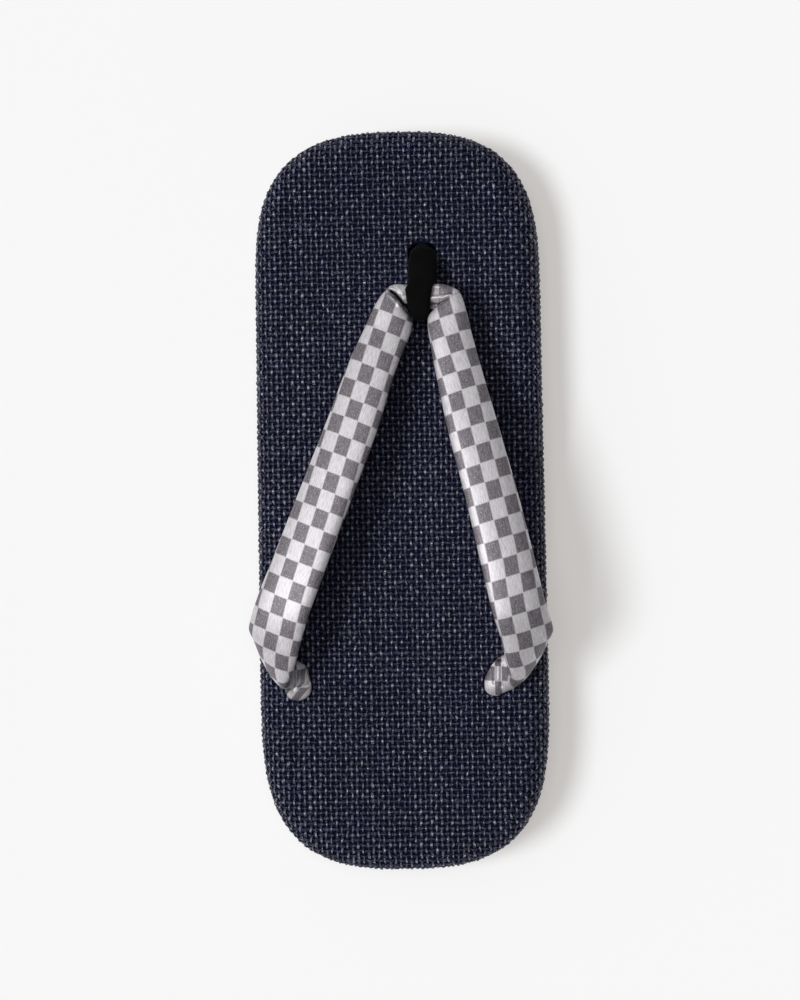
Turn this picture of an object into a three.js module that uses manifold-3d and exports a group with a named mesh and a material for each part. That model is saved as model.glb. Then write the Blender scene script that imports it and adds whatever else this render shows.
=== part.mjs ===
// Left sandal of a pair of thonged sandals: a woven-covered footbed on a wedge midsole and a rubber
// outsole, with a padded V-shaped strap and a velvet toe loop.
// Millimetres. +X is the inner (big toe) side, +Y the toe end, +Z up. The origin lies on the ground
// under the middle of the sole.

import * as THREE from 'three';
import Module from 'manifold-3d';
import { mergeVertices } from 'three/addons/utils/BufferGeometryUtils.js';

const wasm = await Module();
wasm.setup();

// Plan of the footbed
const SOLE_LENGTH = 260;
const TOE_WIDTH = 99.8;
const HEEL_WIDTH = 100.8;
const TOE_END_DEPTH = 60.4;
const HEEL_END_DEPTH = 73.8;

// How square the rounded ends of the plan are, 2 being an ellipse
const TOE_ALONG_POWER = 3.46;
const TOE_ACROSS_POWER = 2.75;
const HEEL_ALONG_POWER = 4.0;
const HEEL_ACROSS_POWER = 2.76;

// Layers of the sole, from the ground up
const OUTSOLE_THICKNESS = 4;
const MIDSOLE_TOE_THICKNESS = 6;
const MIDSOLE_HEEL_THICKNESS = 13;
const FOOTBED_THICKNESS = 12;
const SEAT_GAP = 0.3;
const TOE_SPRING = 5;
const TOE_SPRING_LENGTH = 62;

// Edges of the layers
const FOOTBED_ROLL_WIDTH = 9;
const FOOTBED_ROLL_HEIGHT = 6.5;
const FOOTBED_TUCK = 2.5;
const MIDSOLE_INSET = 1.6;
const MIDSOLE_TAPER = 1.4;
const OUTSOLE_LEDGE = 0.6;
const OUTSOLE_BEVEL = 1.2;

// Tread ribs, which are the lowest part of the outsole
const RIB_HEIGHT = 1.3;
const RIB_LENGTH = 6.4;
const RIB_PITCH = 9;
const RIB_ROOT = 0.7;
const RIB_END_MARGIN = 12;
const RIBS_FROM_HEEL = 16;

// Holes through the footbed
const TOE_HOLE_FROM_TOE = 43.3;
const TOE_HOLE_FROM_INNER_EDGE = 40.4;
const REAR_HOLE_FROM_HEEL = 66.8;
const LATERAL_HOLE_FROM_EDGE = 13;
const MEDIAL_HOLE_FROM_EDGE = 16.4;
const HOLE_CLEARANCE = 0.3;
const HOLE_CUT_MARGIN = 1;

// Strap
const STRAP_WIDTH = 19;
const STRAP_THICKNESS = 6.5;
const STRAP_RISE = 24;
const CROSSING_BEHIND_TOE_HOLE = 15.6;

// Toe loop
const LOOP_WIDTH = 9.6;
const LOOP_WALL = 2.2;
const LOOP_STEM_THICKNESS = 8;
const LOOP_BACK_TAPER = 0.3;
const LOOP_CLEARANCE = 0.3;
const LOOP_EDGE_SHARE = 0.8;

// Fineness of the facets
const END_CURVE_STEPS = 16;
const ROLL_STEPS = 5;
const TUBE_SIDES = 20;
const STRAP_STEPS = 3;
const LOOP_CURVE_STEPS = 7;

// The two arms of the strap, from the crossing back to the hole beside the heel. back and out are
// shares of the way from the crossing to the hole, along the sandal and across it; up is a share of
// STRAP_RISE above the footbed; wide and thick are shares of the strap's width and thickness. turn
// is the plan angle in degrees of the line from the inner to the outer edge, dive is how steeply
// the strap heads down, past 90 where it doubles back, and bank lifts the outer edge.
const ARM_COLUMNS = ['back', 'out', 'up', 'wide', 'thick', 'turn', 'dive', 'bank'];
const LATERAL_ARM = [
  [0.000, 0.128, 0.42, 0.46, 0.66, 90, 0, 4],
  [0.007, 0.156, 0.43, 0.63, 0.68, 120, 0, 4],
  [0.024, 0.170, 0.49, 0.76, 0.94, 130, -4, 2],
  [0.050, 0.206, 0.53, 0.81, 1.00, 143, -8, -2],
  [0.091, 0.256, 0.57, 0.83, 1.00, 160, -10, -4],
  [0.178, 0.366, 0.67, 0.87, 1.00, 163, -10, -7],
  [0.327, 0.514, 0.81, 0.95, 1.00, 160, -8, -10],
  [0.500, 0.709, 0.92, 0.98, 1.00, 161, -4, -12],
  [0.678, 0.912, 0.97, 1.01, 1.00, 160, 1, -14],
  [0.802, 1.055, 0.93, 1.04, 1.00, 161, 9, -14],
  [0.881, 1.130, 0.78, 1.04, 1.00, 158, 22, -12],
  [0.925, 1.147, 0.63, 1.00, 0.98, 138, 42, -7],
  [0.949, 1.155, 0.44, 0.97, 0.98, 122, 76, -3],
  [0.968, 1.110, 0.25, 0.88, 1.05, 120, 118, 2],
  [0.993, 1.010, 0.13, 0.80, 1.40, 117, 106, 0],
  [1.000, 1.000, 0.02, 0.66, 1.32, 117, 90, 0],
];
const MEDIAL_ARM = [
  [0.000, 0.247, 0.42, 0.46, 0.66, 90, 0, 4],
  [0.006, 0.300, 0.43, 0.54, 0.68, 54, 0, 4],
  [0.020, 0.330, 0.49, 0.70, 0.94, 36, -4, 2],
  [0.055, 0.362, 0.53, 0.75, 1.00, 18, -8, -2],
  [0.096, 0.400, 0.57, 0.78, 1.00, 8, -10, -4],
  [0.213, 0.539, 0.69, 0.85, 1.00, 8, -10, -5],
  [0.353, 0.724, 0.83, 0.92, 1.00, 11, -8, -8],
  [0.511, 0.947, 0.93, 0.95, 1.00, 10, -4, -10],
  [0.680, 1.160, 0.99, 0.98, 1.00, 11, 1, -12],
  [0.808, 1.317, 0.95, 0.99, 1.00, 11, 9, -12],
  [0.883, 1.428, 0.79, 0.98, 1.00, 13, 22, -11],
  [0.927, 1.440, 0.64, 0.98, 0.98, 34, 42, -7],
  [0.952, 1.425, 0.45, 0.99, 0.98, 52, 76, -3],
  [0.971, 1.290, 0.25, 0.90, 1.05, 55, 118, 2],
  [0.993, 1.025, 0.13, 0.80, 1.40, 61, 106, 0],
  [1.000, 1.000, 0.02, 0.66, 1.32, 63, 90, 0],
];

// How square the padded section of the strap and of the loop's stem is, 2 being an ellipse
const TUBE_POWER = 2.4;

// Places worked out from the sizes above
const HALF_LENGTH = SOLE_LENGTH / 2;
const TOE_HOLE = { x: TOE_WIDTH / 2 - TOE_HOLE_FROM_INNER_EDGE, y: HALF_LENGTH - TOE_HOLE_FROM_TOE };
const REAR_HOLE_Y = REAR_HOLE_FROM_HEEL - HALF_LENGTH;
const LATERAL_HOLE = { x: LATERAL_HOLE_FROM_EDGE - HEEL_WIDTH / 2, y: REAR_HOLE_Y };
const MEDIAL_HOLE = { x: HEEL_WIDTH / 2 - MEDIAL_HOLE_FROM_EDGE, y: REAR_HOLE_Y };
const CROSSING = { x: TOE_HOLE.x, y: TOE_HOLE.y - CROSSING_BEHIND_TOE_HOLE };
const LATERAL = { rows: LATERAL_ARM, hole: LATERAL_HOLE, side: -1 };
const MEDIAL = { rows: MEDIAL_ARM, hole: MEDIAL_HOLE, side: 1 };

const radians = THREE.MathUtils.degToRad;
const lerp = THREE.MathUtils.lerp;

function material(color, roughness) {
  return new THREE.MeshStandardMaterial({ color, roughness, metalness: 0 });
}

const WOVEN_NAVY = material(0x1c1d33, 0.45);
const SPONGE_BLACK = material(0x17171a, 0.85);
const RUBBER_BLACK = material(0x101012, 0.7);
const CHECK_GREY = material(0xa8a6ab, 0.5);
const VELVET_BLACK = material(0x0a0a0b, 0.95);

// Height by which the toe end curves up off the ground
function springAt(y) {
  const share = (y - (HALF_LENGTH - TOE_SPRING_LENGTH)) / TOE_SPRING_LENGTH;
  return TOE_SPRING * Math.max(share, 0) ** 2;
}

function midsoleThicknessAt(y) {
  return lerp(MIDSOLE_HEEL_THICKNESS, MIDSOLE_TOE_THICKNESS, (y + HALF_LENGTH) / SOLE_LENGTH);
}

function midsoleBottomAt(y) {
  return springAt(y) + OUTSOLE_THICKNESS + SEAT_GAP;
}

function midsoleTopAt(y) {
  return midsoleBottomAt(y) + midsoleThicknessAt(y);
}

function footbedBottomAt(y) {
  return midsoleTopAt(y) + SEAT_GAP;
}

function footbedTopAt(y) {
  return footbedBottomAt(y) + FOOTBED_THICKNESS;
}

// One quarter of a rounded end, from its tip to the straight side
function endQuarter(halfWidth, depth, alongPower, acrossPower) {
  const points = [];
  for (let step = 0; step < END_CURVE_STEPS; step += 1) {
    const angle = (step / END_CURVE_STEPS) * Math.PI / 2;
    const across = halfWidth * Math.sin(angle) ** (2 / acrossPower);
    const fromTip = depth * (1 - Math.cos(angle) ** (2 / alongPower));
    points.push({ across, fromTip });
  }
  return points;
}

// Plan outline, clockwise from above, from the toe tip down the inner side and back up the outer
function footbedOutline() {
  const toe = endQuarter(TOE_WIDTH / 2, TOE_END_DEPTH, TOE_ALONG_POWER, TOE_ACROSS_POWER);
  const heel = endQuarter(HEEL_WIDTH / 2, HEEL_END_DEPTH, HEEL_ALONG_POWER, HEEL_ACROSS_POWER);
  const side = toe.map((p) => new THREE.Vector2(p.across, HALF_LENGTH - p.fromTip));
  side.push(new THREE.Vector2(TOE_WIDTH / 2, HALF_LENGTH - TOE_END_DEPTH));
  side.push(new THREE.Vector2(HEEL_WIDTH / 2, HEEL_END_DEPTH - HALF_LENGTH));
  heel.reverse().forEach((p) => side.push(new THREE.Vector2(p.across, p.fromTip - HALF_LENGTH)));
  const mirrored = side.slice(1, -1).reverse().map((p) => new THREE.Vector2(-p.x, p.y));
  return side.concat(mirrored);
}

const OUTLINE = footbedOutline();

// The outline moved inward by the same distance all round
function insetOutline(inset) {
  const count = OUTLINE.length;
  return OUTLINE.map((point, index) => {
    const before = OUTLINE[(index + count - 1) % count];
    const after = OUTLINE[(index + 1) % count];
    const along = after.clone().sub(before).normalize();
    return new THREE.Vector2(point.x + along.y * inset, point.y - along.x * inset);
  });
}

function geometryFrom(positions, triangles) {
  const geometry = new THREE.BufferGeometry();
  geometry.setAttribute('position', new THREE.Float32BufferAttribute(positions.flat(), 3));
  geometry.setIndex(triangles.flat());
  return geometry;
}

// Side walls between rings that all have the same number of points, low ring first, each ring
// clockwise as seen from the last ring's side
function ringWalls(ringCount, size) {
  const triangles = [];
  for (let ring = 0; ring < ringCount - 1; ring += 1) {
    for (let index = 0; index < size; index += 1) {
      const next = (index + 1) % size;
      const low = ring * size;
      const high = low + size;
      triangles.push([low + index, high + index, high + next]);
      triangles.push([low + index, high + next, low + next]);
    }
  }
  return triangles;
}

// A face across the plan outline made of strips that run straight from side to side
function ladderFace(start, size, facesUp) {
  const triangles = [];
  const middle = size / 2;
  for (let index = 0; index < middle; index += 1) {
    const right = start + index;
    const rightNext = start + index + 1;
    const left = start + (size - index) % size;
    const leftNext = start + size - index - 1;
    const pair = [];
    if (index > 0) {
      pair.push([right, rightNext, left]);
    }
    if (index < middle - 1) {
      pair.push([rightNext, leftNext, left]);
    }
    pair.forEach((t) => triangles.push(facesUp ? [t[0], t[2], t[1]] : t));
  }
  return triangles;
}

// A layer of the sole, from rings of { inset, height(y) } in order from the ground up
function layerGeometry(rings) {
  const size = OUTLINE.length;
  const positions = [];
  rings.forEach((ring) => {
    insetOutline(ring.inset).forEach((p) => positions.push([p.x, p.y, ring.height(p.y)]));
  });
  const triangles = ringWalls(rings.length, size)
    .concat(ladderFace(0, size, false))
    .concat(ladderFace((rings.length - 1) * size, size, true));
  return geometryFrom(positions, triangles);
}

function toManifold(geometry) {
  const bare = geometry.clone();
  bare.deleteAttribute('normal');
  bare.deleteAttribute('uv');
  const merged = mergeVertices(bare, 1e-5);
  return new wasm.Manifold(new wasm.Mesh({
    numProp: 3,
    vertProperties: new Float32Array(merged.attributes.position.array),
    triVerts: new Uint32Array(merged.index.array),
  }));
}

function fromManifold(solid) {
  const mesh = solid.getMesh();
  const geometry = new THREE.BufferGeometry();
  geometry.setAttribute('position', new THREE.BufferAttribute(mesh.vertProperties, 3));
  geometry.setIndex(new THREE.BufferAttribute(mesh.triVerts, 1));
  return geometry;
}

// Strap

// The place, directions and half sizes of one section of an arm, grown all round by grow
function armSection(arm, row, grow) {
  const value = Object.fromEntries(ARM_COLUMNS.map((name, index) => [name, row[index]]));
  const x = lerp(CROSSING.x, arm.hole.x, value.out);
  const y = lerp(CROSSING.y, arm.hole.y, value.back);
  const turn = radians(value.turn);
  const dive = radians(value.dive);
  const bank = radians(value.bank);
  const outward = new THREE.Vector3(Math.cos(turn), Math.sin(turn), 0);
  const ahead = new THREE.Vector3(arm.side * outward.y, -arm.side * outward.x, 0);
  const face = ahead.multiplyScalar(Math.sin(dive)).add(new THREE.Vector3(0, 0, Math.cos(dive)));
  const edge = outward.clone().multiplyScalar(Math.cos(bank)).addScaledVector(face, Math.sin(bank));
  const top = face.multiplyScalar(Math.cos(bank)).addScaledVector(outward, -Math.sin(bank));
  return {
    centre: new THREE.Vector3(x, y, footbedTopAt(y) + value.up * STRAP_RISE),
    edge,
    top,
    halfWidth: (value.wide * STRAP_WIDTH) / 2 + grow,
    halfThickness: (value.thick * STRAP_THICKNESS) / 2 + grow,
  };
}

// Rows between the rows of a table, on smooth curves spaced by the distance between centres
function refineRows(arm) {
  const table = arm.rows;
  const knots = [0];
  for (let index = 1; index < table.length; index += 1) {
    const along = (table[index][0] - table[index - 1][0]) * (arm.hole.y - CROSSING.y);
    const across = (table[index][1] - table[index - 1][1]) * (arm.hole.x - CROSSING.x);
    const rise = (table[index][2] - table[index - 1][2]) * STRAP_RISE;
    knots.push(knots[index - 1] + Math.hypot(along, across, rise));
  }
  const slope = (index, column) => {
    const low = Math.max(index - 1, 0);
    const high = Math.min(index + 1, table.length - 1);
    return (table[high][column] - table[low][column]) / (knots[high] - knots[low]);
  };
  const rows = [];
  for (let index = 0; index < table.length - 1; index += 1) {
    const span = knots[index + 1] - knots[index];
    for (let step = 0; step < STRAP_STEPS; step += 1) {
      const t = step / STRAP_STEPS;
      rows.push(ARM_COLUMNS.map((name, column) => {
        const start = table[index][column];
        const end = table[index + 1][column];
        const bend = t * (1 - t) * span;
        const tilt = slope(index, column) * (1 - t) - slope(index + 1, column) * t;
        const blend = t * t * (3 - 2 * t);
        return lerp(start, end, blend) + bend * tilt;
      }));
    }
  }
  rows.push(table[table.length - 1]);
  return rows;
}

// All sections of an arm, down to its foot inside the footbed
function armFrames(arm, grow) {
  const frames = refineRows(arm).map((row) => armSection(arm, row, grow));
  const rim = frames[frames.length - 1];
  const foot = { ...rim, centre: rim.centre.clone() };
  foot.centre.z = footbedBottomAt(arm.hole.y);
  return frames.concat(foot);
}

function squared(value) {
  return Math.sign(value) * Math.abs(value) ** (2 / TUBE_POWER);
}

// A flattened padded section as a closed ring of points
function tubeRing(frame) {
  const ring = [];
  for (let index = 0; index < TUBE_SIDES; index += 1) {
    const angle = (-index / TUBE_SIDES) * Math.PI * 2;
    const across = squared(Math.cos(angle));
    const through = squared(Math.sin(angle));
    const point = frame.centre.clone()
      .addScaledVector(frame.edge, across * frame.halfWidth)
      .addScaledVector(frame.top, through * frame.halfThickness);
    ring.push(point.toArray());
  }
  return ring;
}

// A closed tube through a list of sections
function tubeGeometry(frames) {
  const rings = frames.map(tubeRing);
  const triangles = ringWalls(rings.length, TUBE_SIDES);
  const last = (rings.length - 1) * TUBE_SIDES;
  for (let index = 1; index < TUBE_SIDES - 1; index += 1) {
    triangles.push([0, index, index + 1]);
    triangles.push([last, last + index + 1, last + index]);
  }
  return geometryFrom(rings.flat(), triangles);
}

// The whole strap as one solid: up the outer arm, through the toe loop and down the inner arm
function strapGeometry(grow) {
  return tubeGeometry(armFrames(LATERAL, grow).reverse().concat(armFrames(MEDIAL, grow)));
}

// Toe loop

// A section of the loop's stem: back and up are shares of the way from the hole to the crossing,
// lean is the angle in degrees that the stem has left the vertical by
const STEM_ROWS = [
  { back: 0, up: 0.1, lean: 0, thick: 1 },
  { back: 0.1, up: 0.34, lean: 32, thick: 0.98 },
  { back: 0.32, up: 0.64, lean: 50, thick: 0.93 },
  { back: 0.6, up: 0.88, lean: 62, thick: 0.86 },
  { back: 0.86, up: 1.0, lean: 72, thick: 0.8 },
];

function stemFrame(y, z, lean, thick, grow) {
  const angle = radians(lean);
  return {
    centre: new THREE.Vector3(TOE_HOLE.x, y, z),
    edge: new THREE.Vector3(1, 0, 0),
    top: new THREE.Vector3(0, Math.cos(angle), Math.sin(angle)),
    halfWidth: LOOP_WIDTH / 2 + grow,
    halfThickness: (LOOP_STEM_THICKNESS * thick) / 2 + grow,
  };
}

// The strap's section where it passes through the toe loop
function crossingSection() {
  return armSection(LATERAL, LATERAL.rows[0], 0);
}

function stemGeometry() {
  const crossing = crossingSection().centre;
  const base = footbedTopAt(TOE_HOLE.y);
  const frames = STEM_ROWS.map((row) => stemFrame(
    lerp(TOE_HOLE.y, CROSSING.y, row.back),
    lerp(base, crossing.z, row.up),
    row.lean,
    row.thick,
    0,
  ));
  const foot = stemFrame(TOE_HOLE.y, footbedBottomAt(TOE_HOLE.y), 0, 1, 0);
  return tubeGeometry([foot].concat(frames));
}

// The bead round the crossing, an oval seen from the side, narrower towards the heel
function beadGeometry() {
  const crossing = crossingSection();
  const margin = LOOP_CLEARANCE + LOOP_WALL;
  const reach = crossing.halfWidth + margin;
  const height = crossing.halfThickness + margin;
  const edge = LOOP_WALL * LOOP_EDGE_SHARE;
  const oval = new THREE.Shape();
  oval.absellipse(0, 0, reach - edge, height - edge, 0, Math.PI * 2, false, 0);
  const bead = new THREE.ExtrudeGeometry(oval, {
    depth: LOOP_WIDTH - 2 * edge,
    curveSegments: LOOP_CURVE_STEPS * 2,
    bevelThickness: edge,
    bevelSize: edge,
    bevelSegments: 3,
  });
  bead.translate(0, 0, edge - LOOP_WIDTH / 2);
  const place = bead.attributes.position;
  for (let index = 0; index < place.count; index += 1) {
    const rearward = THREE.MathUtils.clamp(0.5 - place.getX(index) / (2 * reach), 0, 1);
    place.setZ(index, place.getZ(index) * (1 - LOOP_BACK_TAPER * rearward ** 2));
  }
  const along = crossing.edge;
  const up = crossing.top;
  const across = new THREE.Vector3().crossVectors(along, up);
  bead.applyMatrix4(new THREE.Matrix4().makeBasis(along, up, across));
  bead.translate(TOE_HOLE.x, crossing.centre.y, crossing.centre.z);
  return bead;
}

function toeLoopGeometry() {
  const passage = toManifold(strapGeometry(LOOP_CLEARANCE));
  const loop = toManifold(beadGeometry()).add(toManifold(stemGeometry())).subtract(passage);
  return fromManifold(loop);
}

// Sole

// The rolled top edge of the footbed as shares of its width and height, from the side to the top
function rollRings() {
  const rings = [];
  for (let step = 0; step <= ROLL_STEPS; step += 1) {
    const angle = (step / ROLL_STEPS) * Math.PI / 2;
    const inset = FOOTBED_ROLL_WIDTH * (1 - Math.cos(angle));
    const drop = FOOTBED_ROLL_HEIGHT * (1 - Math.sin(angle));
    rings.push({ inset, height: (y) => footbedTopAt(y) - drop });
  }
  return rings;
}

// A straight plug through the footbed with the outline of a section, to cut a hole with
function holePlug(frame, y) {
  const low = footbedBottomAt(y) - HOLE_CUT_MARGIN;
  const high = footbedTopAt(y) + HOLE_CUT_MARGIN;
  const ends = [low, high].map((z) => {
    const centre = new THREE.Vector3(frame.centre.x, frame.centre.y, z);
    return { ...frame, centre };
  });
  const facesUp = frame.edge.clone().cross(frame.top).z > 0;
  return toManifold(tubeGeometry(facesUp ? ends : ends.reverse()));
}

function rearHolePlug(arm) {
  const rim = armSection(arm, arm.rows[arm.rows.length - 1], HOLE_CLEARANCE);
  return holePlug(rim, arm.hole.y);
}

function footbedGeometry() {
  const tuck = FOOTBED_TUCK * (1 - Math.SQRT1_2);
  const rings = [
    { inset: FOOTBED_TUCK, height: footbedBottomAt },
    { inset: tuck, height: (y) => footbedBottomAt(y) + tuck },
    { inset: 0, height: (y) => footbedBottomAt(y) + FOOTBED_TUCK },
  ].concat(rollRings());
  const toePlug = holePlug(stemFrame(TOE_HOLE.y, 0, 0, 1, HOLE_CLEARANCE), TOE_HOLE.y);
  const board = toManifold(layerGeometry(rings))
    .subtract(toePlug)
    .subtract(rearHolePlug(LATERAL))
    .subtract(rearHolePlug(MEDIAL));
  return fromManifold(board);
}

function midsoleGeometry() {
  return layerGeometry([
    { inset: MIDSOLE_INSET + MIDSOLE_TAPER, height: midsoleBottomAt },
    { inset: MIDSOLE_INSET, height: midsoleTopAt },
  ]);
}

// Where the ribs lie along the flat part of the sole, one of them under the origin
function ribPlaces() {
  const places = [];
  const front = HALF_LENGTH - TOE_SPRING_LENGTH - RIB_LENGTH / 2;
  const back = RIBS_FROM_HEEL + RIB_LENGTH / 2 - HALF_LENGTH;
  for (let index = Math.ceil(back / RIB_PITCH); index * RIB_PITCH <= front; index += 1) {
    places.push(index * RIB_PITCH);
  }
  return places;
}

function outsoleGeometry() {
  const inset = MIDSOLE_INSET + MIDSOLE_TAPER - OUTSOLE_LEDGE;
  let sheet = toManifold(layerGeometry([
    { inset: inset + OUTSOLE_BEVEL, height: (y) => springAt(y) + RIB_HEIGHT },
    { inset, height: (y) => springAt(y) + RIB_HEIGHT + OUTSOLE_BEVEL },
    { inset, height: (y) => springAt(y) + OUTSOLE_THICKNESS },
  ]));
  const ribWidth = TOE_WIDTH - 2 * (inset + RIB_END_MARGIN);
  const ribDepth = RIB_HEIGHT + RIB_ROOT;
  ribPlaces().forEach((y) => {
    const rib = new THREE.BoxGeometry(ribWidth, RIB_LENGTH, ribDepth);
    rib.translate(0, y, ribDepth / 2);
    sheet = sheet.add(toManifold(rib));
  });
  return fromManifold(sheet);
}

const group = new THREE.Group();

function addMesh(name, geometry, look) {
  const mesh = new THREE.Mesh(geometry, look);
  mesh.name = name;
  group.add(mesh);
}

addMesh('outsole', outsoleGeometry(), RUBBER_BLACK);
addMesh('midsole', midsoleGeometry(), SPONGE_BLACK);
addMesh('footbed', footbedGeometry(), WOVEN_NAVY);
addMesh('strap', strapGeometry(0), CHECK_GREY);
addMesh('toe_loop', toeLoopGeometry(), VELVET_BLACK);

export default group;
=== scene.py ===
# Looks of the left zori sandal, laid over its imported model: the woven cover of the footbed, the
# checked satin strap, the velvet toe loop and the black sole, with floor, light and camera.
# Sizes are in millimetres, as in the part's source, and become metres where a mesh or a place is
# handed to Blender. +X is the inner side of the foot, +Y the toe end, +Z up.

import math
import random

import bpy
from mathutils import Matrix, Vector, noise
from mathutils.kdtree import KDTree


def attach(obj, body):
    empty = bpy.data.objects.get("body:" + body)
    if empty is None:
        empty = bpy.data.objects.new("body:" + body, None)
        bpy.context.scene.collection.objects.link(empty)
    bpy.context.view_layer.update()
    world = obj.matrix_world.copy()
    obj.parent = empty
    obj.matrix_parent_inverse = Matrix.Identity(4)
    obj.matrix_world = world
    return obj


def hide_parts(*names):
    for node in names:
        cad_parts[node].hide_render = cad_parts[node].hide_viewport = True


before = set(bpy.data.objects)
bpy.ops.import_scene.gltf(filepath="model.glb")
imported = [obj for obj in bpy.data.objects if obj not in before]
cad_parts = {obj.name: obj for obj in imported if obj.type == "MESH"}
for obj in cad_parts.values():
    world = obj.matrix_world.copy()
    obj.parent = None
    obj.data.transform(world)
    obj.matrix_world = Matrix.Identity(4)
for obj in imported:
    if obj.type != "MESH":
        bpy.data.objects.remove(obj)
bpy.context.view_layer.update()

# A millimetre in metres, and a metre in millimetres
MM = 0.001
METRE = 1000

# Sizes of the solids, as in the part's source
SOLE_LENGTH = 260
TOE_WIDTH = 99.8
HEEL_WIDTH = 100.8
TOE_END_DEPTH = 60.4
HEEL_END_DEPTH = 73.8
TOE_ALONG_POWER = 3.46
TOE_ACROSS_POWER = 2.75
HEEL_ALONG_POWER = 4.0
HEEL_ACROSS_POWER = 2.76
OUTSOLE_THICKNESS = 4
MIDSOLE_TOE_THICKNESS = 6
MIDSOLE_HEEL_THICKNESS = 13
FOOTBED_THICKNESS = 12
SEAT_GAP = 0.3
TOE_SPRING = 5
TOE_SPRING_LENGTH = 62
FOOTBED_ROLL_WIDTH = 9
FOOTBED_ROLL_HEIGHT = 6.5
FOOTBED_TUCK = 2.5
TOE_HOLE_FROM_TOE = 43.3
TOE_HOLE_FROM_INNER_EDGE = 40.4
REAR_HOLE_FROM_HEEL = 66.8
LATERAL_HOLE_FROM_EDGE = 13
MEDIAL_HOLE_FROM_EDGE = 16.4
STRAP_WIDTH = 19
STRAP_THICKNESS = 6.5
STRAP_RISE = 24
CROSSING_BEHIND_TOE_HOLE = 15.6
LOOP_WIDTH = 9.6
LOOP_STEM_THICKNESS = 8
TUBE_POWER = 2.4

# The two arms of the strap, as in the part's source. Each row holds back, out, up, wide, thick,
# turn, dive and bank.
LATERAL_ARM = [
    (0.000, 0.128, 0.42, 0.46, 0.66, 90, 0, 4),
    (0.007, 0.156, 0.43, 0.63, 0.68, 120, 0, 4),
    (0.024, 0.170, 0.49, 0.76, 0.94, 130, -4, 2),
    (0.050, 0.206, 0.53, 0.81, 1.00, 143, -8, -2),
    (0.091, 0.256, 0.57, 0.83, 1.00, 160, -10, -4),
    (0.178, 0.366, 0.67, 0.87, 1.00, 163, -10, -7),
    (0.327, 0.514, 0.81, 0.95, 1.00, 160, -8, -10),
    (0.500, 0.709, 0.92, 0.98, 1.00, 161, -4, -12),
    (0.678, 0.912, 0.97, 1.01, 1.00, 160, 1, -14),
    (0.802, 1.055, 0.93, 1.04, 1.00, 161, 9, -14),
    (0.881, 1.130, 0.78, 1.04, 1.00, 158, 22, -12),
    (0.925, 1.147, 0.63, 1.00, 0.98, 138, 42, -7),
    (0.949, 1.155, 0.44, 0.97, 0.98, 122, 76, -3),
    (0.968, 1.110, 0.25, 0.88, 1.05, 120, 118, 2),
    (0.993, 1.010, 0.13, 0.80, 1.40, 117, 106, 0),
    (1.000, 1.000, 0.02, 0.66, 1.32, 117, 90, 0),
]
MEDIAL_ARM = [
    (0.000, 0.247, 0.42, 0.46, 0.66, 90, 0, 4),
    (0.006, 0.300, 0.43, 0.54, 0.68, 54, 0, 4),
    (0.020, 0.330, 0.49, 0.70, 0.94, 36, -4, 2),
    (0.055, 0.362, 0.53, 0.75, 1.00, 18, -8, -2),
    (0.096, 0.400, 0.57, 0.78, 1.00, 8, -10, -4),
    (0.213, 0.539, 0.69, 0.85, 1.00, 8, -10, -5),
    (0.353, 0.724, 0.83, 0.92, 1.00, 11, -8, -8),
    (0.511, 0.947, 0.93, 0.95, 1.00, 10, -4, -10),
    (0.680, 1.160, 0.99, 0.98, 1.00, 11, 1, -12),
    (0.808, 1.317, 0.95, 0.99, 1.00, 11, 9, -12),
    (0.883, 1.428, 0.79, 0.98, 1.00, 13, 22, -11),
    (0.927, 1.440, 0.64, 0.98, 0.98, 34, 42, -7),
    (0.952, 1.425, 0.45, 0.99, 0.98, 52, 76, -3),
    (0.971, 1.290, 0.25, 0.90, 1.05, 55, 118, 2),
    (0.993, 1.025, 0.13, 0.80, 1.40, 61, 106, 0),
    (1.000, 1.000, 0.02, 0.66, 1.32, 63, 90, 0),
]

# Weave of the cover: warp threads run from heel to toe and weft threads from side to side
WARP_PITCH = 1.86
WEFT_PITCH = 1.93
WARP_WIDTH = 1.12
WEFT_WIDTH = 1.3
THREAD_THICKNESS = 0.5
THREAD_MIDDLE = 0.42
WARP_SWING = 0.4
WEFT_SWING = 0.2
STEPS_PER_CROSSING = 4
SHORTEST_STEP_SHARE = 0.25
TUCKED_SHARE = 0.6
HOLE_MARGIN = 0.6
# A thread's closed section, as shares of its width and thickness
THREAD_SECTION = [(-0.5, -0.2), (-0.27, 0.46), (0.27, 0.46), (0.5, -0.2)]
# Range of the threads' widths, as shares. Then how each thread wanders sideways, swells and rises
# along its way: how far, how quickly, and the layer of noise that it follows
THREAD_WIDTHS = (0.8, 1.2)
WANDER = (0.42, 0.4, 0)
SWELL = (0.6, 0.6, 7)
RISE = (0.34, 0.5, 3)
# How much the crests of the threads stand out: how much lighter their colour is painted towards the crest,
# how strong their painted glints are, and how glossy the threads are
WARP_SHINE = 1.0
WEFT_SHINE = 0.27

# Checks of the strap, as they lie on each arm's top face rolled out flat from the crossing: size of a
# check, turn of its columns and of its rows in degrees, and shift in checks, each across and along,
# then how far the columns drift sideways at some rows
LATERAL_CLOTH = {
    "cell": (5.11, 6.62),
    "turn": (70.55, 65.68),
    "shift": (-0.209, -1.129),
    "drift": [(0, 0.6), (5, 0.0), (12, -0.5), (17, 0.0), (20, 1.0)],
}
MEDIAL_CLOTH = {
    "cell": (5.22, 6.68),
    "turn": (75.81, 71.51),
    "shift": (1.251, -12.197),
    "drift": [(-11, -0.3), (-7, 0.8), (-5, 0.6), (1, 0.2), (5, -1.2), (7, -0.6), (9, 1.8)],
}

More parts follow.
